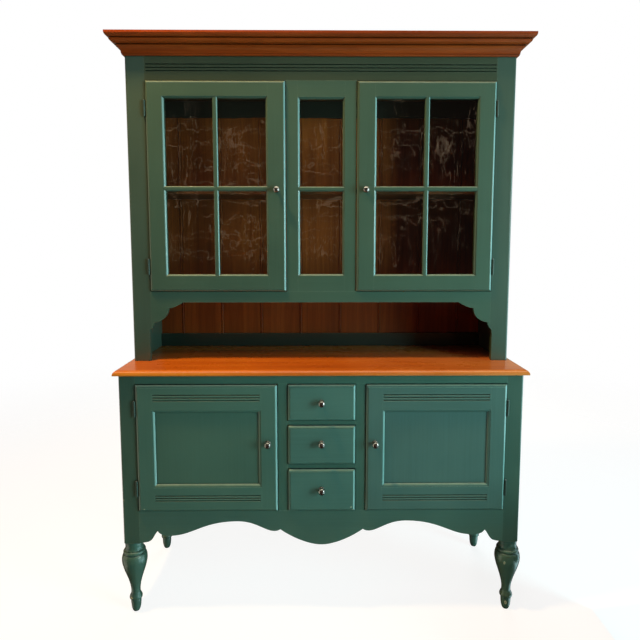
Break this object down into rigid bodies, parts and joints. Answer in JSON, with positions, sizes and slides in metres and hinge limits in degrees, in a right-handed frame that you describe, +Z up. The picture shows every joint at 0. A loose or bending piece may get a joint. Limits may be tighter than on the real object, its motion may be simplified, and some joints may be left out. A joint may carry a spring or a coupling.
{
  "type": "kitchen hutch",
  "caption": "Painted two-piece kitchen hutch: panelled base with drawers on turned legs, moulded wooden worktop, open niche and glazed upper case under a stained cornice.",
  "frame": {"origin": "centre of the overall bounding box, at floor level", "axes": "+Z up, -Y towards the front with the doors, +X to the right of someone who faces it"},
  "size_m": [1.501, 0.514, 2.0785],
  "materials": {
    "green_paint": "semi-gloss dark green paint on wood, rubbed through along the edges",
    "worktop_wood": "glossy orange-brown stained hardwood",
    "cornice_wood": "satin cherry-brown stained wood",
    "back_board_wood": "dark red-brown stained beaded boards",
    "shelf_wood": "satin brown stained boards",
    "interior_wood": "plain planed wood, clear lacquer",
    "glass": "clear, slightly wavy sheet glass",
    "painted_hinge": "green paint over steel",
    "antique_bronze": "dark antiqued metal, rubbed bright at the crown",
    "steel": "zinc-plated steel"
  },
  "bodies": {
    "case": {"back_boards": "back_board_wood", "back_rails": "green_paint", "base_back_panel": "back_board_wood", "base_bottom_board": "interior_wood", "base_mullions": "green_paint", "base_partitions": "interior_wood", "base_top_rail": "green_paint", "case_boards": "shelf_wood", "case_rails": "green_paint", "centre_sash": "green_paint", "centre_sash_glass": "glass", "corner_posts": "green_paint", "cornice": "cornice_wood", "counter_top": "worktop_wood", "cupboard_shelves": "interior_wood", "display_shelf": "shelf_wood", "door_catches": "steel", "drawer_rails": "green_paint", "drawer_runners": "interior_wood", "front_apron": "green_paint", "hinge_frame_leaves": "painted_hinge", "hinge_pins": "steel", "leg_bolts": "steel", "legs": "green_paint", "shelf_cleats": "interior_wood", "shelf_pins": "steel", "side_panels": "green_paint", "tie_brackets": "steel", "upper_lower_rail": "green_paint", "upper_sides": "green_paint", "upper_stiles": "green_paint", "upper_top_rail": "green_paint"},
    "base_left_door": {"base_left_door_frame": "green_paint", "base_left_door_panel": "green_paint", "base_left_door_knob": "antique_bronze", "base_left_door_hinge_leaves": "painted_hinge"},
    "upper_left_door": {"upper_left_door_frame": "green_paint", "upper_left_door_muntins": "green_paint", "upper_left_door_glass": "glass", "upper_left_door_knob": "antique_bronze", "upper_left_door_hinge_leaves": "painted_hinge"},
    "base_right_door": {"base_right_door_frame": "green_paint", "base_right_door_panel": "green_paint", "base_right_door_knob": "antique_bronze", "base_right_door_hinge_leaves": "painted_hinge"},
    "upper_right_door": {"upper_right_door_frame": "green_paint", "upper_right_door_muntins": "green_paint", "upper_right_door_glass": "glass", "upper_right_door_knob": "antique_bronze", "upper_right_door_hinge_leaves": "painted_hinge"},
    "bottom_drawer": {"bottom_drawer_front": "green_paint", "bottom_drawer_knob": "antique_bronze", "bottom_drawer_box": "interior_wood"},
    "middle_drawer": {"middle_drawer_front": "green_paint", "middle_drawer_knob": "antique_bronze", "middle_drawer_box": "interior_wood"},
    "top_drawer": {"top_drawer_front": "green_paint", "top_drawer_knob": "antique_bronze", "top_drawer_box": "interior_wood"}
  },
  "joints": [
    {"name": "base_right_door_hinge", "type": "hinge", "parent": "case", "child": "base_right_door", "pos_m": [0.654, -0.224, 0.626], "axis": [0, 0, 1], "range_deg": [0, 165]},
    {"name": "upper_right_door_hinge", "type": "hinge", "parent": "case", "child": "upper_right_door", "pos_m": [0.633, -0.084, 1.5435], "axis": [0, 0, 1], "range_deg": [0, 165]},
    {"name": "base_left_door_hinge", "type": "hinge", "parent": "case", "child": "base_left_door", "pos_m": [-0.654, -0.224, 0.626], "axis": [0, 0, -1], "range_deg": [0, 165]},
    {"name": "upper_left_door_hinge", "type": "hinge", "parent": "case", "child": "upper_left_door", "pos_m": [-0.633, -0.084, 1.5435], "axis": [0, 0, -1], "range_deg": [0, 165]},
    {"name": "bottom_drawer_slide", "type": "slide", "parent": "case", "child": "bottom_drawer", "axis": [0, -1, 0], "range_m": [0, 0.33]},
    {"name": "middle_drawer_slide", "type": "slide", "parent": "case", "child": "middle_drawer", "axis": [0, -1, 0], "range_m": [0, 0.33]},
    {"name": "top_drawer_slide", "type": "slide", "parent": "case", "child": "top_drawer", "axis": [0, -1, 0], "range_m": [0, 0.33]}
  ]
}
